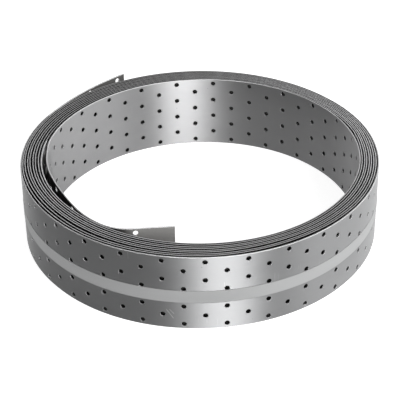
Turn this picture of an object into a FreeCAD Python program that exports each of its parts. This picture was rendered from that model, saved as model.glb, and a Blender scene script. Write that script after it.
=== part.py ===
import FreeCAD, Part
import math
import os

# Perforated steel strap, wound on edge into a flat coil that stands on the edges of its turns.
# The axis of the coil is upright and its base is z = 0. The outer free end is straight and runs along
# +X, with its outer face looking along +Y. The origin is the middle of the base of the whole part.

# Strap stock
strap_width = 80.0
strap_thick = 1.5
hole_dia = 5.0
hole_rows = 8
column_pitch = 20.0

# Coil
coil_outer_radius = 179.0
turn_count = 9
turn_gap = 1.0
end_groove_depth = 10.0

# Outer free end: it lifts off the coil along a wide arc and ends straight.
outer_lift_sweep = 21.5
outer_standoff = 7.5
outer_end_length = 14.0
outer_first_column = 9.5
outer_first_row = 0

# Inner free end: it peels off the bore wall, comes near it again, bends once and ends straight.
inner_peel_angle = 128.7
inner_near_angle = 188.7
inner_peel_gap = 3.3
inner_near_gap = 1.0
inner_bend_radius = 38.0
inner_end_heading = -36.8
inner_end_length = 48.0
inner_first_column = 17.0
inner_first_row = 1

# Binding tape round the outermost turn
tape_width = 13.5
tape_thick = 0.4
tape_mid_height = 36.4
tape_start_angle = 114.0
tape_sweep = 332.0

# Derived sizes
row_pitch = strap_width / hole_rows
hole_radius = hole_dia / 2
half_thick = strap_thick / 2
parted = strap_thick + half_thick
turn_pitch = strap_thick + turn_gap
bore_radius = coil_outer_radius - (turn_count - 1) * turn_pitch - strap_thick
full_turn = 2 * math.pi
up = FreeCAD.Vector(0, 0, 1)
coil_centre = FreeCAD.Vector(0, 0, 0)
to_middle = FreeCAD.Vector(0, (tape_thick - outer_standoff) / 2, 0)


def on_circle(radius, angle, centre=coil_centre):
    """A point at the base level, at an angle in radians from +X round a centre."""
    return centre + FreeCAD.Vector(radius * math.cos(angle), radius * math.sin(angle), 0)


def angle_of(vector):
    """Direction of a level vector, in radians from +X."""
    return math.atan2(vector.y, vector.x)


def comb_section():
    """Half section of the coil: the gaps between turns are grooves in both of its ends."""
    low, high = end_groove_depth, strap_width - end_groove_depth
    bottom = []
    for turn in range(turn_count):
        inside = bore_radius + turn * turn_pitch
        outside = inside + strap_thick
        bottom += [(inside, low), (inside, 0), (outside, 0), (outside, low)]
    top = [(radius, strap_width if height == 0 else high) for radius, height in reversed(bottom)]
    # The bore wall and the outer wall run straight from end to end.
    outline = bottom[1:-1] + top[1:-1]
    return [FreeCAD.Vector(radius, 0, height) for radius, height in outline]


def turned_coil():
    """All the turns as one solid of revolution."""
    outline = comb_section()
    face = Part.Face(Part.makePolygon(outline + outline[:1]))
    return face.revolve(coil_centre, up, 360)


def sector(centre, mid_radius, start, sweep, thick, height):
    """A length of strip bent to an arc, given by the radius of its middle and angles in radians."""
    inner = mid_radius - thick / 2
    outer = mid_radius + thick / 2
    angles = (start, start + sweep / 2, start + sweep)
    outside = Part.Arc(*[on_circle(outer, angle, centre) for angle in angles]).toShape()
    inside = Part.Arc(*[on_circle(inner, angle, centre) for angle in angles]).toShape()
    first = Part.makeLine(on_circle(inner, angles[0], centre), on_circle(outer, angles[0], centre))
    last = Part.makeLine(on_circle(inner, angles[2], centre), on_circle(outer, angles[2], centre))
    wire = Part.Wire(Part.__sortEdges__([outside, inside, first, last]))
    return Part.Face(wire).extrude(up * height)


class FreeEnd:
    """A free end of the strap: arcs that follow on smoothly from the coil, then a straight tip.

    It is given by a point on the middle line, the angle of the outward normal there, and the radius
    and signed sweep of each arc. A positive sweep runs anticlockwise seen from above.
    """

    def __init__(self, start, normal, arcs, tip_length):
        self.arcs = []
        point, angle = start, normal
        for radius, sweep in arcs:
            centre = point - on_circle(radius, angle)
            self.arcs.append((centre, radius, angle, sweep))
            angle += sweep
            point = on_circle(radius, angle, centre)
        self.root = point
        self.outward = on_circle(1, angle)
        self.ahead = on_circle(1, angle + math.copysign(math.pi / 2, arcs[-1][1]))
        self.tip_length = tip_length
        self.length = tip_length + sum(radius * abs(sweep) for radius, sweep in arcs)

    def at(self, along):
        """Middle-line point and outward normal at a distance back from the tip."""
        if along <= self.tip_length:
            return self.root + self.ahead * (self.tip_length - along), self.outward
        along -= self.tip_length
        for centre, radius, start, sweep in reversed(self.arcs):
            if along <= radius * abs(sweep):
                angle = start + sweep - math.copysign(along / radius, sweep)
                return on_circle(radius, angle, centre), on_circle(1, angle)
            along -= radius * abs(sweep)

    def solids(self):
        """Each arc and the straight tip, full strap width."""
        pieces = []
        for centre, radius, start, sweep in self.arcs:
            pieces.append(sector(centre, radius, start, sweep, strap_thick, strap_width))
        corner = self.root - self.outward * half_thick
        far = corner + self.ahead * self.tip_length
        across = self.outward * strap_thick
        outline = [corner, far, far + across, corner + across, corner]
        pieces.append(Part.Face(Part.makePolygon(outline)).extrude(up * strap_width))
        return pieces

    def column_places(self, first_column):
        """Distances back from the tip of the hole columns on the free end."""
        count = int((self.length - first_column) / column_pitch) + 1
        return [first_column + index * column_pitch for index in range(count)]


def outer_end():
    """The outer free end, which runs clockwise off the outermost turn."""
    sweep = math.radians(outer_lift_sweep)
    lift_angle = math.pi / 2 + sweep
    middle_radius = coil_outer_radius - half_thick
    lift_radius = middle_radius + outer_standoff / (1 - math.cos(sweep))
    start = on_circle(middle_radius, lift_angle)
    return FreeEnd(start, lift_angle, [(lift_radius, -sweep)], outer_end_length)


def inner_end():
    """The inner free end, which runs anticlockwise off the innermost turn."""
    peel, near = math.radians(inner_peel_angle), math.radians(inner_near_angle)
    wall = bore_radius - half_thick
    start = on_circle(bore_radius + half_thick, peel)
    halfway = on_circle(wall - inner_peel_gap, (peel + near) / 2)
    end = on_circle(wall - inner_near_gap, near)
    arc = Part.Arc(start, halfway, end).toShape().Curve
    normal = angle_of(start - arc.Center)
    arc_sweep = (angle_of(end - arc.Center) - normal) % full_turn
    straight_normal = math.radians(inner_end_heading) - math.pi / 2
    bend_sweep = (straight_normal - normal - arc_sweep) % full_turn
    arcs = [(arc.Radius, arc_sweep), (inner_bend_radius, bend_sweep)]
    return FreeEnd(start, normal, arcs, inner_end_length)


def column(face_point, inwards, depth, row_phase):
    """Drills for one column of holes, from a point on the seen face of the strap into it.

    Neighbouring columns use alternate rows, so row_phase is 0 or 1.
    """
    drills = []
    for row in range(row_phase, hole_rows, 2):
        height = strap_width - (row + 0.5) * row_pitch
        start = face_point - inwards * half_thick + up * height
        drills.append(Part.makeCylinder(hole_radius, depth + half_thick, start, inwards))
    return drills


def stand_off(middle, wall_radius):
    """How far a free end's middle line has left the middle of the turn it comes from."""
    return abs(middle.Length - wall_radius)


def free_end_drills(end, side, wall_radius, first_column, first_row):
    """Holes along a free end. Side is 1 if its outer face is the seen one, -1 if its inner face is.

    Near its root the free end still lies in the coil's wall, and a hole goes through both.
    """
    drills = []
    for index, along in enumerate(end.column_places(first_column)):
        middle, outward = end.at(along)
        apart = stand_off(middle, wall_radius)
        reach = apart if apart < parted else half_thick
        face_point = middle + outward * (side * half_thick)
        row_phase = (first_row + index) % 2
        drills += column(face_point, outward * -side, strap_thick + reach, row_phase)
    return drills


def wall_drills(end, side, wall_radius, turn_sense, first_column, first_row):
    """The columns go on from the free end once round the wall, one strap thickness deep.

    The last stretch, where the free end still lies in the wall, has the free end's own holes.
    """
    places = end.column_places(first_column)
    beyond = places[-1] + column_pitch - end.length
    covered = 0.0
    while stand_off(end.at(end.length - covered)[0], wall_radius) < parted:
        covered += half_thick
    count = int((full_turn * wall_radius - beyond - covered) / column_pitch) + 1
    root_angle = angle_of(end.at(end.length)[0])
    drills = []
    for index in range(count):
        angle = root_angle + turn_sense * (beyond + index * column_pitch) / wall_radius
        outward = on_circle(1, angle)
        face_point = outward * (wall_radius + side * half_thick)
        row_phase = (first_row + len(places) + index) % 2
        drills += column(face_point, outward * -side, strap_thick, row_phase)
    return drills


def strap_coil():
    """The whole strap: the turned coil, both free ends and the holes in every face that can be seen."""
    outer, inner = outer_end(), inner_end()
    body = turned_coil().fuse(outer.solids() + inner.solids()).removeSplitter()
    outer_wall = coil_outer_radius - half_thick
    inner_wall = bore_radius + half_thick
    drills = free_end_drills(outer, 1, outer_wall, outer_first_column, outer_first_row)
    drills += free_end_drills(inner, -1, inner_wall, inner_first_column, inner_first_row)
    drills += wall_drills(outer, 1, outer_wall, 1, outer_first_column, outer_first_row)
    drills += wall_drills(inner, -1, inner_wall, -1, inner_first_column, inner_first_row)
    return body.cut(drills)


def binding_tape():
    """An open band of tape on the outermost turn. Its ends stop either side of the lifting free end."""
    start, sweep = math.radians(tape_start_angle), math.radians(tape_sweep)
    middle_radius = coil_outer_radius + tape_thick / 2
    band = sector(coil_centre, middle_radius, start, sweep, tape_thick, tape_width)
    return band.translated(up * (tape_mid_height - tape_width / 2))


def save(shape, node):
    """Write one node, moved so that the origin is the middle of the base."""
    solid = shape.Solids[0].translated(to_middle)
    print(node, "solids", len(shape.Solids), "valid", solid.isValid(), "volume", round(solid.Volume))
    solid.exportStep("parts/" + node + ".step")


os.makedirs("parts", exist_ok=True)
save(strap_coil(), "strap_coil")
save(binding_tape(), "binding_tape")
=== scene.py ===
# %% [markdown]
# # A coil of perforated steel strap
#
# The object is one long flat steel strap, 80 mm wide, punched with staggered rows of 5 mm holes and wound on
# edge into a flat coil. Its outer end springs away from the coil, its inner end is bent across the bore, and a
# light grey tape runs round the outside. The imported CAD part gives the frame: every size below is in metres
# and in that frame, so nothing has to be fitted by eye.

# %% Load the frame
import math

import bpy
import numpy as np
from mathutils import Matrix, Vector


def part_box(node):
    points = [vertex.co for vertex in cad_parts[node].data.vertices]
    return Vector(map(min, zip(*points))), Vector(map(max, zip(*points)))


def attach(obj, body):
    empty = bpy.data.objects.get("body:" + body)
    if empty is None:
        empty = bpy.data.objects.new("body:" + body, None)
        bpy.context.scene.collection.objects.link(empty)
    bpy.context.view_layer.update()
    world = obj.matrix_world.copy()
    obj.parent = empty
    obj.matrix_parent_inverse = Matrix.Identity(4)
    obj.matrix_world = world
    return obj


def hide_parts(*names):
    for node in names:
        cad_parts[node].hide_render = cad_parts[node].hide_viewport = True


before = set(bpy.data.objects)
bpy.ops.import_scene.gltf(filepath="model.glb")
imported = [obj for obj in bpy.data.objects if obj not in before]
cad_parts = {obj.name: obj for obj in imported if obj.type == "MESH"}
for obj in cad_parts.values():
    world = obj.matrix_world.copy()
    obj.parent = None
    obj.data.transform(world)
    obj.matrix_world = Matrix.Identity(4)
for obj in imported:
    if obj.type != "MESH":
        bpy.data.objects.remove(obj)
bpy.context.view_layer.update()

# %% [markdown]
# The coil stands on the edges of its turns, so its axis is upright. The box of the CAD node gives the radius
# and the axis: the outer free end only makes the box longer towards +Y, and the other three sides touch the
# coil itself.

# %% Find the coil's axis and radius
low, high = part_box("strap_coil")
coil_radius = (high.x - low.x) / 2
axis_x, axis_y = (low.x + high.x) / 2, low.y + coil_radius
strap_width = high.z - low.z
print("coil radius", round(coil_radius, 4), "axis", round(axis_x, 4), round(axis_y, 4), "width", strap_width)

# %% [markdown]
# ## The camera
#
# The coil is looked down on at about a third of a right angle, from far away with a long lens, so that its
# near and far sides are almost the same size. The camera is built from three directions: to the right, up
# and back towards the camera. That needs no target object and no constraint.

# %% Place the camera
view_turn = math.radians(-41.3)
view_height = math.radians(32.598)
view_roll = 0.0136
view_distance = 1.41417
lens_in_frame_widths = 3.4692

right = Vector((math.cos(view_turn), math.sin(view_turn), 0))
away = Vector((-math.sin(view_turn), math.cos(view_turn), 0))
back = Vector((0, 0, math.sin(view_height))) - away * math.cos(view_height)
up = back.cross(right)
rolled_right = right * math.cos(view_roll) - up * math.sin(view_roll)
rolled_up = right * math.sin(view_roll) + up * math.cos(view_roll)
coil_middle = Vector((axis_x, axis_y, strap_width / 2))

camera_data = bpy.data.cameras.new("camera")
camera_data.sensor_width = 36.0
camera_data.lens = lens_in_frame_widths * camera_data.sensor_width
camera_data.shift_x = 0.00197
camera_data.shift_y = -0.03059
camera_data.clip_end = 50.0
camera = bpy.data.objects.new("camera", camera_data)
bpy.context.scene.collection.objects.link(camera)
turn = Matrix((rolled_right, rolled_up, back)).transposed().to_4x4()
camera.matrix_world = Matrix.Translation(coil_middle + back * view_distance) @ turn
bpy.context.scene.camera = camera
print("lens", round(camera_data.lens, 2), "mm, camera at", [round(v, 3) for v in camera.location])

# %% [markdown]
# ## Shader maths in Python
#
# A material is a graph of nodes, and a graph is easier to read as an expression. `Wire` wraps one output of a
# node, so `mask - 0.5` or `streak * 0.1 + 0.3` adds the Math nodes it needs. `Graph.node` makes any other node:
# its settings are set first, because some of them change which sockets there are.

# %% A socket that can be used in sums
class Wire:
    def __init__(self, graph, socket):
        self.graph = graph
        self.socket = socket

    def math(self, operation, first, second):
        return self.graph.node("ShaderNodeMath", {"operation": operation}, {0: first, 1: second})

    def __add__(self, other):
        return self.math("ADD", self, other)

    def __sub__(self, other):
        return self.math("SUBTRACT", self, other)

    def __mul__(self, other):
        return self.math("MULTIPLY", self, other)

    def __truediv__(self, other):
        return self.math("DIVIDE", self, other)

    __radd__ = __add__


class Graph:
    def __init__(self, tree):
        self.tree = tree
        tree.nodes.clear()

    def node(self, kind, settings=None, sockets=None, output=0):
        made = self.tree.nodes.new(kind)
        for name, value in (settings or {}).items():
            if name == "stops":
                self.set_stops(made.color_ramp, value)
            else:
                setattr(made, name, value)
        for key, value in (sockets or {}).items():
            if isinstance(value, Wire):
                self.tree.links.new(value.socket, made.inputs[key])
            else:
                made.inputs[key].default_value = value
        return Wire(self, made.outputs[output]) if made.outputs else made

    def set_stops(self, ramp, stops):
        ramp.interpolation = "EASE"
        while len(ramp.elements) < len(stops):
            ramp.elements.new(1.0)
        for element, (place, level) in zip(ramp.elements, stops):
            element.position = place
            element.color = (level, level, level, 1)

    def ramp(self, factor, stops):
        return self.node("ShaderNodeValToRGB", {"stops": stops}, {0: factor})

    def stretched(self, coordinates, scale):
        return self.node(
            "ShaderNodeVectorMath", {"operation": "MULTIPLY"}, {0: coordinates, 1: scale}
        )

    def noise(self, coordinates, scale, detail=3.0, roughness=0.5):
        return self.node(
            "ShaderNodeTexNoise",
            None,
            {
                "Vector": self.stretched(coordinates, scale),
                "Scale": 1.0,
                "Detail": detail,
                "Roughness": roughness,
            },
        )

    def blend(self, factor, first, second):
        return self.node(
            "ShaderNodeMix", {"data_type": "RGBA"}, {"Factor": factor, 6: first, 7: second}, output=2
        )


def new_material(name):
    made = bpy.data.materials.new(name)
    made.use_nodes = True
    return made, Graph(made.node_tree)


print("shader helpers ready")

# %% [markdown]
# ## The satin steel face
#
# Cold rolled strap is smooth but not polished. The rollers leave very fine lines along the strap, the grey
# varies slightly in long clouds, and handling adds a few specks and thin slanting scratches. All of these are
# laid out on the strap's own length and width, which the mesh carries as its UV map: metres from the outer
# tip, and metres up from the lower edge. So they follow the strap round the coil.
#
# The face is a metal, and its tone comes from what it reflects. The fine lines run along the strap, so they
# spread a reflection across it: the shader's anisotropy does that, and it is what makes the upright bands of
# light and dark. Two slanting scratches sit beside each other, just under half a metre from the outer tip.

# %% Steel face material
steel_face, g = new_material("satin_rolled_steel")
along_and_across = g.node("ShaderNodeUVMap", {"uv_map": "strap"})
roller_lines = g.noise(along_and_across, (14, 2600, 0), detail=2)
fine_lines = g.noise(along_and_across, (60, 7000, 0), detail=1)
clouds = g.noise(along_and_across, (9, 22, 0), detail=4)
blotches = g.noise(along_and_across, (55, 70, 0), detail=3, roughness=0.6)

slanted = g.node(
    "ShaderNodeMapping", None, {"Vector": along_and_across, "Rotation": (0, 0, 0.95), "Scale": (900, 22, 1)}
)
scratch_shape = g.node("ShaderNodeTexNoise", None, {"Vector": slanted, "Scale": 1.0, "Detail": 0.0})
scratch_place = g.noise(along_and_across, (17, 31, 5), detail=1)
scratches = g.ramp(scratch_shape, [(0.735, 0), (0.76, 1)]) * g.ramp(scratch_place, [(0.64, 0), (0.70, 1)])

speck_cells = g.node(
    "ShaderNodeTexVoronoi", None, {"Vector": g.stretched(along_and_across, (95, 120, 0)), "Scale": 1.0}
)
speck_place = g.noise(along_and_across, (70, 90, 9), detail=0)
specks = g.ramp(speck_cells, [(0.035, 1), (0.06, 0)]) * g.ramp(speck_place, [(0.56, 0), (0.60, 1)])


def scratch_line(g, place, start, finish, half_width):
    """A soft straight mark between two places on the strap, as a mask from 0 to 1."""
    reach = math.dist(start, finish)
    way_along, way_across = (finish[0] - start[0]) / reach, (finish[1] - start[1]) / reach
    from_start = [g.node("ShaderNodeSeparateXYZ", None, {0: place}, output=k) - start[k] for k in (0, 1)]
    travelled = (from_start[0] * way_along + from_start[1] * way_across) / reach
    aside = from_start[0] * (way_across / half_width) - from_start[1] * (way_along / half_width)
    aside = g.node("ShaderNodeMath", {"operation": "ABSOLUTE"}, {0: aside})
    ends = g.ramp(travelled, [(0.0, 0), (0.12, 1), (0.85, 1), (1.0, 0)])
    return g.ramp(aside, [(0.25, 1), (0.95, 0)]) * ends


long_scratch = scratch_line(g, along_and_across, (0.4528, 0.0215), (0.4602, 0.0105), 0.0005)
short_scratch = scratch_line(g, along_and_across, (0.4559, 0.0215), (0.4607, 0.0160), 0.0004)
two_scratches = long_scratch + short_scratch

tone = 0.5 + (clouds - 0.5) * 0.9 + (roller_lines - 0.5) * 0.35 + (blotches - 0.5) * 0.25
clean_steel = g.blend(tone, (0.275, 0.277, 0.280, 1), (0.340, 0.342, 0.345, 1))
scratched = g.blend(scratches * 0.25, clean_steel, (0.60, 0.60, 0.60, 1))
scratched = g.blend(two_scratches * 0.6, scratched, (0.75, 0.75, 0.75, 1))
marked = g.blend(specks * 0.6, scratched, (0.10, 0.10, 0.095, 1))
face_roughness = 0.60 + (clouds - 0.5) * 0.06 + (fine_lines - 0.5) * 0.05 + specks * 0.1
relief = roller_lines * 0.25 + clouds * 2.0 + blotches * 0.35 - scratches * 0.6
face_bump = g.node("ShaderNodeBump", None, {"Strength": 0.10, "Distance": 0.0004, "Height": relief})
face_shader = g.node(
    "ShaderNodeBsdfPrincipled",
    None,
    {
        "Base Color": marked,
        "Metallic": 1.0,
        "Roughness": face_roughness,
        "Anisotropic": 1.0,
        "Anisotropic Rotation": 0.25,
        "Normal": face_bump,
    },
)
g.node("ShaderNodeOutputMaterial", None, {"Surface": face_shader})

# The inner face of the inner end and of the innermost turn, the bore's wall, is a lighter copy of the steel:
# painted light against the shade inside the bore.
steel_inner_painted_light = steel_face.copy()
steel_inner_painted_light.name = "satin_rolled_steel_inner_side_painted_light"
inner_painted_light_tone = steel_inner_painted_light.node_tree.nodes[clean_steel.socket.node.name]
inner_painted_light_tone.inputs[6].default_value = (0.35, 0.35, 0.354, 1)
inner_painted_light_tone.inputs[7].default_value = (0.43, 0.43, 0.434, 1)

# Both free ends are painted darker on the side that faces the coil: painted shade in the gap between each free
# end and the next turn.
steel_ends_painted_shade = steel_face.copy()
steel_ends_painted_shade.name = "painted_shade_steel_ends"
ends_painted_shade_tone = steel_ends_painted_shade.node_tree.nodes[clean_steel.socket.node.name]
ends_painted_shade_tone.inputs[6].default_value = (0.125, 0.123, 0.120, 1)
ends_painted_shade_tone.inputs[7].default_value = (0.170, 0.167, 0.163, 1)
print("steel face nodes", len(steel_face.node_tree.nodes))

# %% [markdown]
# ## The sheared edges
#
# The long edges and the hole walls are cut, not rolled. A cut leaves part of the thickness burnished and the
# rest torn, so the edge is a little brighter, with short grooves across it.

# %% Steel edge material
steel_edge, g = new_material("sheared_steel_edge")
place = g.node("ShaderNodeUVMap", {"uv_map": "strap"})
grooves = g.noise(place, (2400, 500, 0), detail=2)
patches = g.noise(place, (45, 45, 0), detail=3)
edge_tone = g.blend((grooves - 0.5) * 0.6 + patches, (0.40, 0.40, 0.405, 1), (0.54, 0.54, 0.545, 1))
edge_roughness = 0.50 + (patches - 0.5) * 0.12
edge_bump = g.node("ShaderNodeBump", None, {"Strength": 0.12, "Distance": 0.0003, "Height": grooves})
edge_shader = g.node(
    "ShaderNodeBsdfPrincipled",
    None,
    {
        "Base Color": edge_tone,
        "Metallic": 1.0,
        "Roughness": edge_roughness,
        "Anisotropic": 0.5,
        "Normal": edge_bump,
    },
)
g.node("ShaderNodeOutputMaterial", None, {"Surface": edge_shader})
print("steel edge nodes", len(steel_edge.node_tree.nodes))

# %% [markdown]
# ## The faces between the turns
#
# The faces between the turns are painted near black: painted shade for the dark gaps between the turns. These
# faces are seen only down the gaps and through the holes, which is why the holes look black.

# %% Steel with painted shade between the turns
steel_painted_shade_between_turns, g = new_material("painted_shade_steel_between_turns")
place = g.node("ShaderNodeUVMap", {"uv_map": "strap"})
between_turns_mottle = g.noise(place, (30, 60, 0), detail=3)
between_turns_painted_shade_tone = g.blend(between_turns_mottle, (0.018, 0.018, 0.017, 1), (0.036, 0.035, 0.034, 1))
between_turns_shader = g.node(
    "ShaderNodeBsdfPrincipled", None, {"Base Color": between_turns_painted_shade_tone, "Metallic": 1.0, "Roughness": 0.42 + between_turns_mottle * 0.1}
)
g.node("ShaderNodeOutputMaterial", None, {"Surface": between_turns_shader})
print("oiled steel nodes", len(steel_painted_shade_between_turns.node_tree.nodes))

# %% [markdown]
# ## The tape
#
# The tape is a thin matt plastic film. It is almost even in colour, with a faint grain and soft stretch marks
# along its length, and its two edges are painted very slightly darker, as painted shade along the edges.

# %% Tape material
tape_film, g = new_material("matt_grey_tape")
place = g.node("ShaderNodeUVMap", {"uv_map": "strap"})
stretch_marks = g.noise(place, (7, 420, 0), detail=2)
grain = g.noise(place, (1500, 1500, 0), detail=1)
film_tone = 0.5 + (stretch_marks - 0.5) * 0.7 + (grain - 0.5) * 0.3
film_colour = g.blend(film_tone, (0.380, 0.384, 0.386, 1), (0.435, 0.439, 0.441, 1))
across = g.node("ShaderNodeSeparateXYZ", None, {0: place}, output=1)
tape_middle, tape_half = 0.0364, 0.00675
from_middle = g.node("ShaderNodeMath", {"operation": "ABSOLUTE"}, {0: across - tape_middle}) / tape_half
# Painted shade: a thin darker line along both edges of the tape.
tape_edge_painted_shade = g.ramp(from_middle, [(0.90, 0), (0.99, 1)])
film_colour = g.blend(tape_edge_painted_shade * 0.5, film_colour, (0.16, 0.16, 0.16, 1))
film_bump = g.node(
    "ShaderNodeBump", None, {"Strength": 0.15, "Distance": 0.0002, "Height": grain * 0.3 + stretch_marks}
)
tape_shader = g.node(
    "ShaderNodeBsdfPrincipled",
    None,
    {"Base Color": film_colour, "Roughness": 0.62 + (grain - 0.5) * 0.1, "Normal": film_bump},
)
g.node("ShaderNodeOutputMaterial", None, {"Surface": tape_shader})
print("tape nodes", len(tape_film.node_tree.nodes))

# %% [markdown]
# ## The strap's path in plan
#
# Seen from above, the strap is one line: the bent inner end, about nine turns, and the outer end that lifts
# away. A true spiral is used in place of the CAD part's closed rings, so that each turn really runs into the
# next. At any direction from the axis, the inner face of the turn is at `start_radius + turn_step * turns`.
# Both of these vary gently round the coil, because a hand-wound coil is wound tighter on one side than on the
# other. Eight values each, in millimetres, one every eighth of a circle, are joined by a smooth closed curve.
# The coil is also a touch oval.

# %% A smooth closed curve through values round the circle
def round_curve(values):
    """A function of the angle that passes through values spaced evenly round the circle."""
    waves = np.fft.rfft(values) / len(values)

    def curve(angle):
        total = np.full_like(angle, waves[0].real)
        for order in range(1, len(waves)):
            share = 1 if order * 2 == len(values) else 2
            total += share * (waves[order] * np.exp(1j * order * angle)).real
        return total

    return curve


millimetre = 0.001
thickness = 1.5 * millimetre
start_radius = round_curve([160.2, 157.6, 155.7, 153.3, 151.9, 153.5, 156.4, 158.2])
turn_step_values = [2.09, 2.45, 2.61, 2.60, 2.83, 2.79, 2.46, 2.26]
turn_step = round_curve(turn_step_values)
print("turn step from", min(turn_step_values), "to", max(turn_step_values), "mm")

# %% [markdown]
# Some neighbouring turns stand further apart on part of the coil. Each such place is a direction, a spread,
# the count of turns after which it opens, and how much it opens, as a share of a turn step. All the other
# turns close up by the same amount in total, so the coil keeps its outline. Turns also tend to lie in pairs,
# with a closer gap inside each pair.

# %% Open some of the gaps
peel_direction, lift_direction = 128.7, 111.5
whole_turns = 9
turns_in_coil = whole_turns + (peel_direction - lift_direction) / 360
loose_places = [
    (258.7, 30, 8.14, 0.62),
    (249.7, 20, 6.16, 0.42),
    (166.7, 28, 8.39, 0.34),
    (173.7, 42, 7.37, 0.40),
    (190.7, 32, 6.33, 0.34),
    (-24.3, 16, 0.92, 0.60),
]
loose_side, loose_spread, loose_share = 123.7, 55, 0.22
pairing, turns_in_pair = 0.065, 2.12
opening_turns = 0.5


def window(direction, middle, spread):
    """1 in the middle direction, falling smoothly to 0 at the spread on both sides, in degrees."""
    away_by = (direction - middle + 180) % 360 - 180
    return np.where(np.abs(away_by) < spread, 0.5 + 0.5 * np.cos(np.pi * away_by / spread), 0.0)


def smooth_step(value):
    value = np.clip(value, 0, 1)
    return value * value * (3 - 2 * value)


def opened_turns(turns, direction):
    """The count of turns, shifted so that some gaps open and the others close."""
    share = turns / turns_in_coil
    opened = turns + window(direction, loose_side, loose_spread) * loose_share * turns * (1 - share)
    ends = smooth_step(turns) * smooth_step(turns_in_coil - turns)
    opened = opened + pairing * ends * np.sin(2 * np.pi * turns / turns_in_pair)
    for middle, spread, after, amount in loose_places:
        step = smooth_step((turns - after) / opening_turns + 0.5)
        opened = opened + window(direction, middle, spread) * amount * (step - share)
    return opened


coil_points = 9000
turns = np.linspace(0, turns_in_coil, coil_points)
direction = peel_direction - 360 * turns
coil_line = (
    start_radius(np.radians(direction)) + turn_step(np.radians(direction)) * opened_turns(turns, direction)
) * millimetre + thickness / 2
lift_middle = coil_radius - thickness / 2
oval_direction, oval_swell, oval_threshold = -41.3, 1.5 * millimetre, 0.2
oval_wave = np.cos(2 * np.radians(direction - oval_direction))
coil_line += oval_swell * np.maximum(0, oval_wave - oval_threshold)
meeting_turns = 0.3
meeting = smooth_step((turns - turns_in_coil + meeting_turns) / meeting_turns)
coil_line += (lift_middle - coil_line[-1]) * meeting

# No turn may pass into the one outside it, so from the outermost inwards each keeps its thickness and a hair.
steps_in_turn = round(coil_points / turns_in_coil)
hair = 0.08 * millimetre
least_step = thickness + hair
for k in range(len(coil_line) - steps_in_turn - 1, -1, -1):
    coil_line[k] = min(coil_line[k], coil_line[k + steps_in_turn] - least_step)
smallest_step = (coil_line[steps_in_turn:] - coil_line[:-steps_in_turn]).min()
print("smallest step between turns", round(smallest_step / millimetre, 2), "mm")
coil_xy = np.stack([np.cos(np.radians(direction)), np.sin(np.radians(direction))], 1) * coil_line[:, None]
print("coil from radius", round(coil_line[0], 4), "to", round(coil_line[-1], 4))
print("turns in the coil", round(turns_in_coil, 2))

# %% [markdown]
# The inner end peels off, swings back towards the coil, then bends once and runs straight to its square tip.
# It is a spline through a few listed places, given from the tip as direction and radius. The tip is
# straight, so three of those places are on one line.

# %% The inner free end
def spline(places, step):
    """A natural cubic spline through points, by the length of its chords."""
    places = np.array(places, float)
    knots = np.r_[0, np.cumsum(np.hypot(*np.diff(places, axis=0).T))]
    gaps = np.diff(knots)
    count = len(knots)
    system, pull = np.eye(count), np.zeros((count, 2))
    for k in range(1, count - 1):
        system[k, k - 1 : k + 2] = gaps[k - 1], 2 * (gaps[k - 1] + gaps[k]), gaps[k]
        slopes = np.diff(places[k - 1 : k + 2], axis=0) / gaps[k - 1 : k + 1, None]
        pull[k] = 6 * (slopes[1] - slopes[0])
    curve = np.linalg.solve(system, pull)
    at = np.arange(0, knots[-1], step)
    k = np.clip(np.searchsorted(knots, at, side="right") - 1, 0, count - 2)
    h, a, b = gaps[k, None], (knots[k + 1] - at)[:, None], (at - knots[k])[:, None]
    return (
        curve[k] * a**3 / (6 * h)
        + curve[k + 1] * b**3 / (6 * h)
        + (places[k] / h - curve[k] * h / 6) * a
        + (places[k + 1] / h - curve[k + 1] * h / 6) * b
    )


def from_polar(places):
    """Plan positions in metres, from directions in degrees and radii in millimetres."""
    return [
        (
            radius * millimetre * math.cos(math.radians(angle)),
            radius * millimetre * math.sin(math.radians(angle)),
        )
        for angle, radius in places
    ]


tip_heading = math.radians(-36.8)
tip_straight = 45 * millimetre
tip_ahead = np.array([math.cos(tip_heading), math.sin(tip_heading)])
bend_end = np.array(from_polar([(201.3, 147.5)])[0])
straight_run = [bend_end + tip_ahead * tip_straight * share for share in (1.0, 0.66, 0.33, 0.0)]
inner_places = from_polar(
    [
        (196.6, 152.0),
        (192.3, 153.3),
        (187.7, 152.9),
        (182.7, 152.1),
        (176.7, 150.4),
        (170.7, 148.8),
        (164.7, 148.1),
        (158.7, 148.6),
        (152.7, 149.8),
        (146.7, 151.2),
        (140.7, 152.5),
        (134.7, 153.5),
    ]
)
inner_xy = spline(straight_run + inner_places + [coil_xy[0]], millimetre)
print("inner end", round(len(inner_xy) * millimetre, 3), "m")

# %% [markdown]
# The outer end is stiff, so it leaves along an arc wider than the coil, which ends in a short straight tip.
# The tip lies along +X, as in the CAD part: its outer face is the far side of the CAD box.

# %% The outer free end
lift_sweep = math.radians(lift_direction - 90)
stand_off = high.y - axis_y - coil_radius
lift_radius = lift_middle + stand_off / (1 - math.cos(lift_sweep))
outer_tip_straight = 14.0 * millimetre
arc_points, tip_points = 110, 15
arc_centre = coil_xy[-1] * (1 - lift_radius / lift_middle)
angles = np.pi / 2 + lift_sweep * (1 - np.linspace(0, 1, arc_points)[1:])
arc_xy = arc_centre + np.stack([np.cos(angles), np.sin(angles)], 1) * lift_radius
run = np.linspace(0, outer_tip_straight, tip_points)[1:]
outer_xy = arc_xy[-1] + np.stack([run, np.zeros_like(run)], 1)
print("lifting arc radius", round(lift_radius, 4), "stand-off", round(stand_off, 4))

# %% [markdown]
# The three parts are joined and walked along at even steps. A short running average takes out the slight
# corners where they meet, as the stiffness of real steel would. Then a point, a heading and an outward
# direction can be read at any distance from the inner tip.

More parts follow.
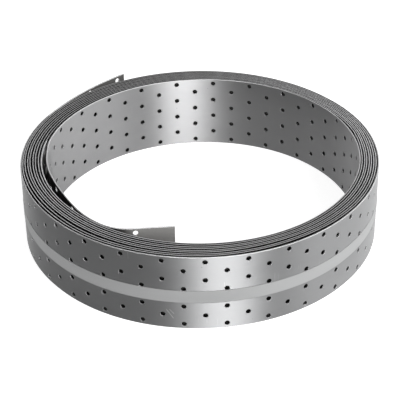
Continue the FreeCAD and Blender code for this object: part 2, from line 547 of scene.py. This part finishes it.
# %% One line from tip to tip
def even_steps(line, step):
    """The same line with points at even steps, and each point's distance from the start."""
    length = np.r_[0, np.cumsum(np.hypot(*np.diff(line, axis=0).T))]
    at = np.linspace(0, length[-1], int(length[-1] / step) + 1)
    return at, np.stack([np.interp(at, length, line[:, k]) for k in (0, 1)], 1)


joined = np.concatenate([inner_xy[:-1], coil_xy, arc_xy, outer_xy])
_, even = even_steps(joined, millimetre)
reach = 12
weights = np.hanning(2 * reach + 3)[1:-1]
weights /= weights.sum()
before = even[0] + (even[0] - even[1]) * np.arange(reach, 0, -1)[:, None]
after = even[-1] + (even[-1] - even[-2]) * np.arange(1, reach + 1)[:, None]
padded = np.concatenate([before, even, after])
smoothed = np.stack([np.convolve(padded[:, k], weights, mode="valid") for k in (0, 1)], 1)
line_at, line_xy = even_steps(smoothed, millimetre)
strap_length = line_at[-1]
line_heading = np.unwrap(np.arctan2(*np.gradient(line_xy, axis=0).T[::-1]))


def on_line(distance):
    """Plan position, unit heading and unit outward direction at a distance from the inner tip."""
    x, y = (np.interp(distance, line_at, line_xy[:, k]) for k in (0, 1))
    heading = np.interp(distance, line_at, line_heading)
    place = Vector((x + axis_x, y + axis_y, 0))
    forward = Vector((math.cos(heading), math.sin(heading), 0))
    return place, forward, Vector((-forward.y, forward.x, 0))


print("strap length", round(strap_length, 3), "m")

# %% [markdown]
# ## The strap's mesh
#
# The strap is a grid: one row of points every 5 mm across its width, on its outer and on its inner face. The
# holes sit on that same grid, because the rows are 10 mm apart and the columns 20 mm. Each hole takes the
# place of four cells, with a ring of points for its rim, a tiny sloping lip on both faces, and a wall through
# the thickness. Columns are counted from the tip on each free end. Only the turns that can be
# seen are punched; the ones between are hidden by them and stay plain.

# %% Where the grid lines and the holes are
column_pitch = 20 * millimetre
grid_step = 5 * millimetre
levels = 17
hole_radius = 2.5 * millimetre
lip = 0.18 * millimetre
rim_points = 16
inner_first_column, outer_first_column = 17.0 * millimetre, 9.5 * millimetre
inner_columns, outer_columns = 72, 72
plain_step = 12 * millimetre

# The punch did not feed evenly: by this much (second value) the columns are early or late at a distance (first
# value) from each tip.
inner_slip = [
    (0, -0.0004),
    (0.06, -0.0004),
    (0.24, -0.0041),
    (0.36, -0.0046),
    (0.47, -0.0036),
    (0.62, -0.0016),
]
outer_slip = [(0, 0), (0.12, 0), (0.27, 0.0045), (0.36, 0.002), (0.47, 0), (0.75, -0.0015)]


def punched_lines(first_column, columns, slip):
    """Distances of the grid lines from a tip, and the line that each column of holes is on."""
    lines = [0.0]
    place = first_column % grid_step
    if place < millimetre:
        place += grid_step
    while place < first_column + columns * column_pitch:
        lines.append(place)
        place += grid_step
    middles = [round((first_column + k * column_pitch - lines[1]) / grid_step) + 1 for k in range(columns)]
    lines = [0.0] + [float(place + np.interp(place, *zip(*slip))) for place in lines[1:]]
    return lines, middles


inner_lines, inner_middles = punched_lines(inner_first_column, inner_columns, inner_slip)
outer_lines, outer_middles = punched_lines(outer_first_column, outer_columns, outer_slip)
plain_start, plain_end = inner_lines[-1], strap_length - outer_lines[-1]
plain_count = int((plain_end - plain_start) / plain_step)
plain_lines = list(np.linspace(plain_start, plain_end, plain_count + 1)[1:-1])
lines = inner_lines + plain_lines + [strap_length - place for place in reversed(outer_lines)]
odd_rows, even_rows = (1, 5, 9, 13), (3, 7, 11, 15)
# The column nearest the inner tip is left out.
holes = [(line, even_rows if k % 2 else odd_rows) for k, line in enumerate(inner_middles) if k > 0]
holes += [(len(lines) - 1 - line, odd_rows if k % 2 else even_rows) for k, line in enumerate(outer_middles)]
print("grid lines", len(lines), "columns of holes", len(holes))

# %% [markdown]
# Curved sheet metal only reflects cleanly if its shading follows the true surface and not the small flats of
# the mesh. So each corner of each face carries its own exact normal, worked out from the strap's heading.

# %% A mesh that carries its own normals
class SheetMesh:
    """Points, faces, corner normals and finishes, gathered first and built in one go."""

    def __init__(self):
        self.points, self.strap_places = [], []
        self.faces, self.normals, self.finishes = [], [], []

    def point(self, position, distance, across):
        self.points.append(position)
        self.strap_places.append((strap_length - distance, across))
        return len(self.points) - 1

    def face(self, corners, normals, finish):
        a, b, c = (self.points[k] for k in corners[:3])
        if (b - a).cross(c - b).dot(normals[0]) < 0:
            corners, normals = corners[::-1], normals[::-1]
        self.faces.append(corners)
        self.normals += normals
        self.finishes.append(finish)

    def build(self, name, materials):
        mesh = bpy.data.meshes.new(name)
        mesh.from_pydata(self.points, [], self.faces)
        for material in materials:
            mesh.materials.append(material)
        mesh.polygons.foreach_set("material_index", self.finishes)
        mesh.polygons.foreach_set("use_smooth", [True] * len(self.faces))
        layer = mesh.uv_layers.new(name="strap")
        corners = [k for face in self.faces for k in face]
        layer.data.foreach_set("uv", [value for k in corners for value in self.strap_places[k]])
        mesh.normals_split_custom_set([tuple(normal) for normal in self.normals])
        mesh.update()
        piece = bpy.data.objects.new(name, mesh)
        bpy.context.scene.collection.objects.link(piece)
        triangles = sum(len(face) - 2 for face in self.faces)
        print(name, "points", len(self.points), "triangles", triangles)
        return piece


# %% Lay out the grid
# Finishes 2 to 4 are copies of the steel: painted shade between the turns, painted light on the bore's wall,
# and painted shade on the free ends' sides that face the coil.
FACE, EDGE, BETWEEN_TURNS_PAINTED_SHADE, INNER_FACE_PAINTED_LIGHT, ENDS_PAINTED_SHADE = 0, 1, 2, 3, 4
inner_free_length = len(inner_xy) * millimetre
outer_free_length = lift_radius * lift_sweep + outer_tip_straight
inner_turn, outer_turn = (2 * math.pi * radius for radius in (coil_line[0], coil_radius))
inner_shade_length = 0.11
outer_overrun, inner_overrun = 0.09, 0.02


def face_finish(line, side):
    """Which finish a face between two grid lines has: bare where it is open to view, a lighter copy with
    painted light on the bore's wall, and painted shade between the turns and on the free ends' sides that face
    the coil.
    """
    from_inner, from_outer = lines[line], strap_length - lines[line]
    if side > 0:
        if from_inner < inner_shade_length:
            return ENDS_PAINTED_SHADE
        return FACE if from_outer < outer_free_length + outer_turn + outer_overrun else BETWEEN_TURNS_PAINTED_SHADE
    if from_inner < inner_free_length + inner_turn + inner_overrun:
        return INNER_FACE_PAINTED_LIGHT
    return ENDS_PAINTED_SHADE if from_outer < outer_free_length else BETWEEN_TURNS_PAINTED_SHADE


up_way = Vector((0, 0, 1))
bevel = 0.34 * millimetre
sheet = SheetMesh()
crest = {}
stations = [on_line(distance) for distance in lines]
grid = {}
for i, (place, _, outward) in enumerate(stations):
    for side in (1, -1):
        for j in range(levels):
            height = min(max(j * grid_step, bevel), strap_width - bevel)
            position = place + outward * (side * thickness / 2) + up_way * height
            grid[i, j, side] = sheet.point(position, lines[i], height)
        for j, height in ((0, 0.0), (levels - 1, strap_width)):
            position = place + outward * (side * (thickness / 2 - bevel)) + up_way * height
            crest[i, j, side] = sheet.point(position, lines[i], height)

punched = set()
for line, rows in holes:
    for row in rows:
        punched |= {(line - 1, row - 1), (line, row - 1), (line - 1, row), (line, row)}

for i in range(len(lines) - 1):
    for side in (1, -1):
        here, ahead = stations[i][2] * side, stations[i + 1][2] * side
        for j in range(levels - 1):
            if (i, j) in punched:
                continue
            corners = [grid[i, j, side], grid[i + 1, j, side], grid[i + 1, j + 1, side], grid[i, j + 1, side]]
            sheet.face(corners, [here, ahead, ahead, here], face_finish(i, side))
    for j, way in ((0, -up_way), (levels - 1, up_way)):
        corners = [crest[i, j, 1], crest[i + 1, j, 1], crest[i + 1, j, -1], crest[i, j, -1]]
        sheet.face(corners, [way] * 4, EDGE)
        for side in (1, -1):
            slopes = [(stations[k][2] * side + way).normalized() for k in (i, i + 1)]
            corners = [grid[i, j, side], grid[i + 1, j, side], crest[i + 1, j, side], crest[i, j, side]]
            # The sloping bevels of the hidden turns take the same painted shade.
            finish = BETWEEN_TURNS_PAINTED_SHADE if face_finish(i, side) == BETWEEN_TURNS_PAINTED_SHADE else EDGE
            sheet.face(corners, [slopes[0], slopes[1], slopes[1], slopes[0]], finish)

for i, sense in ((0, -1), (len(lines) - 1, 1)):
    way = stations[i][1] * sense
    for j in (0, levels - 1):
        corners = [grid[i, j, 1], crest[i, j, 1], crest[i, j, -1], grid[i, j, -1]]
        sheet.face(corners, [way] * 4, EDGE)
    for j in range(levels - 1):
        corners = [grid[i, j, 1], grid[i, j + 1, 1], grid[i, j + 1, -1], grid[i, j, -1]]
        sheet.face(corners, [way] * 4, EDGE)
print("plain faces", len(sheet.faces))

# %% Punch the holes
ring_of_cells = [(1, 0), (1, 1), (0, 1), (-1, 1), (-1, 0), (-1, -1), (0, -1), (1, -1)]
rim_angles = [2 * math.pi * k / rim_points for k in range(rim_points)]
lip_outward_share = 0.35
for line, rows in holes:
    for row in rows:
        rims = {}
        middle_height = row * grid_step
        for side in (1, -1):
            for name, radius, depth in (("rim", hole_radius + lip, 0.0), ("wall", hole_radius, lip)):
                ring = []
                for angle in rim_angles:
                    along, height = math.cos(angle) * radius, math.sin(angle) * radius
                    place, forward, outward = on_line(lines[line] + along)
                    level = middle_height + height
                    position = place + outward * (side * (thickness / 2 - depth)) + up_way * level
                    to_hole = -(forward * math.cos(angle) + up_way * math.sin(angle))
                    index = sheet.point(position, lines[line] + along, level)
                    ring.append((index, outward * side, to_hole))
                rims[side, name] = ring
            rim, wall = rims[side, "rim"], rims[side, "wall"]
            for k, (step_along, step_up) in enumerate(ring_of_cells):
                next_along, next_up = ring_of_cells[(k + 1) % len(ring_of_cells)]
                first, second = line + step_along, line + next_along
                three = [rim[(2 * k + m) % rim_points] for m in (2, 1, 0)]
                corners = [grid[first, row + step_up, side], grid[second, row + next_up, side]]
                normals = [stations[first][2] * side, stations[second][2] * side]
                finish = face_finish(line, side)
                sheet.face(corners + [c[0] for c in three], normals + [c[1] for c in three], finish)
            for k in range(rim_points):
                pair = [rim[k], rim[(k + 1) % rim_points]]
                inner_pair = [wall[(k + 1) % rim_points], wall[k]]
                corners = [c[0] for c in pair + inner_pair]
                normals = [c[1] for c in pair]
                normals += [(c[1] * lip_outward_share + c[2]).normalized() for c in inner_pair]
                sheet.face(corners, normals, EDGE)
        front, rear = rims[1, "wall"], rims[-1, "wall"]
        for k in range(rim_points):
            quad = [front[k], front[(k + 1) % rim_points], rear[(k + 1) % rim_points], rear[k]]
            sheet.face([c[0] for c in quad], [c[2] for c in quad], EDGE)

strap = sheet.build("perforated_strap", [steel_face, steel_edge, steel_painted_shade_between_turns, steel_inner_painted_light, steel_ends_painted_shade])
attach(strap, "root")
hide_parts("strap_coil")

# %% [markdown]
# ## The tape's mesh
#
# The tape lies on the outermost turn from just before the free end lifts off, back round the coil, and ends
# in the slot under the free end. It follows the same line as the strap, a hair further out, and is built as
# a closed thin band so that its cut edges catch a little light.

# %% Wind the tape on
tape_thick, tape_gap = 0.28 * millimetre, 0.02 * millimetre
tape_degrees, tape_points = 332, 260
tape_end_before_lift = 8 * millimetre
tape_low, tape_high = tape_middle - tape_half, tape_middle + tape_half
tape_finish_at = strap_length - outer_free_length - tape_end_before_lift
tape_turn = 2 * math.pi * coil_radius * tape_degrees / 360
tape_lines = np.linspace(tape_finish_at - tape_turn, tape_finish_at, tape_points)
band = SheetMesh()
band_points = {}
band_stations = [on_line(distance) for distance in tape_lines]
for i, (place, _, outward) in enumerate(band_stations):
    for side, offset in ((1, thickness / 2 + tape_thick), (-1, thickness / 2 + tape_gap)):
        for j, height in enumerate((tape_low, tape_middle, tape_high)):
            position = place + outward * offset + up_way * height
            band_points[i, j, side] = band.point(position, tape_lines[i], height)
for i in range(len(tape_lines) - 1):
    for side in (1, -1):
        here, ahead = band_stations[i][2] * side, band_stations[i + 1][2] * side
        for j in (0, 1):
            corners = [band_points[k, m, side] for k, m in ((i, j), (i + 1, j), (i + 1, j + 1), (i, j + 1))]
            band.face(corners, [here, ahead, ahead, here], 0)
    for j, way in ((0, -up_way), (2, up_way)):
        corners = [band_points[k, j, side] for k, side in ((i, 1), (i + 1, 1), (i + 1, -1), (i, -1))]
        band.face(corners, [way] * 4, 0)
for i, sense in ((0, -1), (len(tape_lines) - 1, 1)):
    way = band_stations[i][1] * sense
    for j in (0, 1):
        corners = [band_points[i, m, side] for m, side in ((j, 1), (j + 1, 1), (j + 1, -1), (j, -1))]
        band.face(corners, [way] * 4, 0)
tape = band.build("grey_tape", [tape_film])
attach(tape, "root")
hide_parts("binding_tape")

# %% [markdown]
# ## Light, floor and background
#
# Satin metal shows its surroundings, so the surroundings are what is lit. A tall ring of cloth stands round
# the table, out of the picture: a bright panel in front and a little to the right, black cloth to the left of
# it, and soft grey panels elsewhere. On the coil these become upright bands, as they do on any upright
# cylinder. Only the metal sees the ring: it casts no light or shadow on the floor and the tape, which are lit
# by the world and a lamp. The camera does not see the ring either. Beyond it, the world is plain white, and
# white to the metal as well.

# %% The white world
world = bpy.data.worlds.new("studio")
world.use_nodes = True
world.cycles.sampling_method = "NONE"
bpy.context.scene.world = world


def seen_directly(g):
    """1 for rays from the camera, in a mirror or through glass, and 0 for the light that falls on things."""
    kinds = ("Is Camera Ray", "Is Glossy Ray", "Is Transmission Ray")
    camera_ray, glossy_ray, transmission_ray = (g.node("ShaderNodeLightPath", output=kind) for kind in kinds)
    return g.node(
        "ShaderNodeMath",
        {"operation": "ADD", "use_clamp": True},
        {0: camera_ray + glossy_ray, 1: transmission_ray},
    )


g = Graph(world.node_tree)
sky_light = 0.6
sky_strength = seen_directly(g) * (1 - sky_light) + sky_light
sky = g.node("ShaderNodeBackground", None, {"Color": (1, 1, 1, 1), "Strength": sky_strength})
g.node("ShaderNodeOutputWorld", None, {"Surface": sky})
print("world nodes", len(world.node_tree.nodes))

# %% [markdown]
# The ring's panels are given by compass direction, seen from above: the camera's right is 0, straight away
# from it is 90, and the camera itself stands at 270. One turn of the ring is one turn of the ramp.

# %% The ring of panels
brightest = 8.5
panels = [
    (0, 2.15),
    (40, 2.25),
    (62, 2.00),
    (78, 0.50),
    (104, 0.50),
    (118, 1.30),
    (140, 0.65),
    (158, 0.15),
    (172, 0.00),
    (190, 0.00),
    (242, 0.00),
    (254, 0.05),
    (263, 1.50),
    (270, 4.60),
    (278, 8.00),
    (294, 8.50),
    (300, 4.20),
    (307, 0.40),
    (318, 0.50),
    (328, 1.70),
    (342, 2.30),
    (360, 2.15),
]
ring_radius, ring_height, ring_sides = 2.6, 5.5, 96
ring_mesh = bpy.data.meshes.new("panel_ring")
ring_points, ring_faces = [], []
for k in range(ring_sides):
    angle = 2 * math.pi * k / ring_sides
    x, y = ring_radius * math.cos(angle), ring_radius * math.sin(angle)
    ring_points += [(x, y, 0), (x, y, ring_height)]
    after = (k + 1) % ring_sides
    ring_faces.append((2 * k, 2 * k + 1, 2 * after + 1, 2 * after))
    ring_faces.append((2 * k + 1, 2 * after + 1, 2 * ring_sides))
ring_points.append((0, 0, ring_height))
ring_mesh.from_pydata(ring_points, [], ring_faces)
ring = bpy.data.objects.new("panel_ring", ring_mesh)
bpy.context.scene.collection.objects.link(ring)
cloth, g = new_material("panel_cloth")
ring_place = g.node("ShaderNodeTexCoord", output="Object")
split = [g.node("ShaderNodeSeparateXYZ", None, {0: ring_place}, output=k) for k in (0, 1)]
compass = g.node("ShaderNodeMath", {"operation": "ARCTAN2"}, {0: split[1], 1: split[0]}) / (2 * math.pi)
wrapped = g.node("ShaderNodeMath", {"operation": "FRACT"}, {0: compass + 1})
cloth_level = g.ramp(wrapped, [(degrees / 360, level / brightest) for degrees, level in panels])
cloth_light = g.node("ShaderNodeEmission", None, {"Color": cloth_level, "Strength": brightest})
g.node("ShaderNodeOutputMaterial", None, {"Surface": cloth_light})
ring_mesh.materials.append(cloth)
ring.rotation_euler.z = view_turn
ring.visible_camera = False
ring.visible_diffuse = False
ring.visible_shadow = False
print("ring panels", len(panels))

# %% [markdown]
# One large soft lamp stands in front, to the right and above the coil. It lights the tape and the floor from
# that side, and the metal does not mirror it. The floor is pale and matt. A plain glow lifts it to white, for
# the camera and in the metal alike, and the shadow stays.

# %% Lamp and floor
lamp_data = bpy.data.lights.new("side_softbox", "AREA")
lamp_data.shape = "DISK"
lamp_data.size = 1.2
lamp_data.energy = 26.0
lamp = bpy.data.objects.new("side_softbox", lamp_data)
bpy.context.scene.collection.objects.link(lamp)
lamp_away, lamp_turn, lamp_height = 2.0, math.radians(50), math.radians(38)
lamp_flat = right * math.sin(lamp_turn) - away * math.cos(lamp_turn)
lamp.location = coil_middle + (lamp_flat * math.cos(lamp_height) + up_way * math.sin(lamp_height)) * lamp_away
lamp.rotation_euler = (lamp.location - coil_middle).to_track_quat("Z", "Y").to_euler()
lamp.visible_glossy = False

floor_mesh = bpy.data.meshes.new("floor")
floor_reach, floor_drop, floor_glow = 8.0, 0.0002, 0.75
floor_corners = [(x * floor_reach, y * floor_reach, 0) for x, y in ((-1, -1), (1, -1), (1, 1), (-1, 1))]
floor_mesh.from_pydata(floor_corners, [], [(0, 1, 2, 3)])
floor = bpy.data.objects.new("floor", floor_mesh)
bpy.context.scene.collection.objects.link(floor)
floor_paint, g = new_material("pale_floor")
floor_place = g.node("ShaderNodeTexCoord", output="Object")
mottle = g.noise(floor_place, (3, 3, 3), detail=2)
paint_colour = g.blend(mottle, (0.60, 0.60, 0.60, 1), (0.64, 0.64, 0.64, 1))
matt = g.node("ShaderNodeBsdfDiffuse", None, {"Color": paint_colour})
glow_strength = seen_directly(g) * floor_glow
glow = g.node("ShaderNodeEmission", None, {"Color": (1, 1, 1, 1), "Strength": glow_strength})
floor_shader = g.node("ShaderNodeAddShader", None, {0: matt, 1: glow})
g.node("ShaderNodeOutputMaterial", None, {"Surface": floor_shader})
floor_mesh.materials.append(floor_paint)
floor.location.z = -floor_drop
bpy.context.scene.view_settings.view_transform = "Standard"
print("floor and lamp placed")
